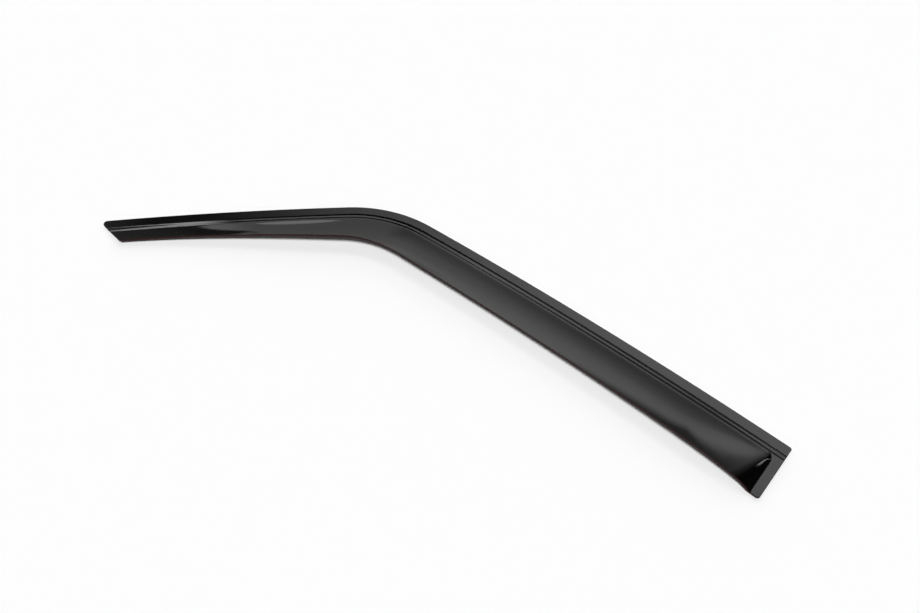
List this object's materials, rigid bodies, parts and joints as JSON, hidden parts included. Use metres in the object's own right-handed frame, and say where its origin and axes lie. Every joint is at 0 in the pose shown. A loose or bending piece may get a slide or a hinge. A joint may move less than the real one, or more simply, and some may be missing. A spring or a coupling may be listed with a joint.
{
  "type": "window rain deflector",
  "caption": "Smoked acrylic stick-on rain deflector for a front side window: flat taped flange, shallow step, and a crowned blade that bends down to a narrow tip and ends in a dome.",
  "frame": {"origin": "middle of the bounding box in X and Y, level with the back of the long foam tape", "axes": "+X along the roof line towards the rear end, +Y up towards the roof, +Z out of the door"},
  "size_m": [0.9174, 0.2954, 0.0244],
  "materials": {
    "smoked_acrylic": "polished, dark smoke tint",
    "foam_tape": "matte acrylic foam"
  },
  "bodies": {
    "root": {"deflector_blade": "smoked_acrylic", "flange_tape": "foam_tape", "end_tape": "foam_tape"}
  },
  "joints": []
}
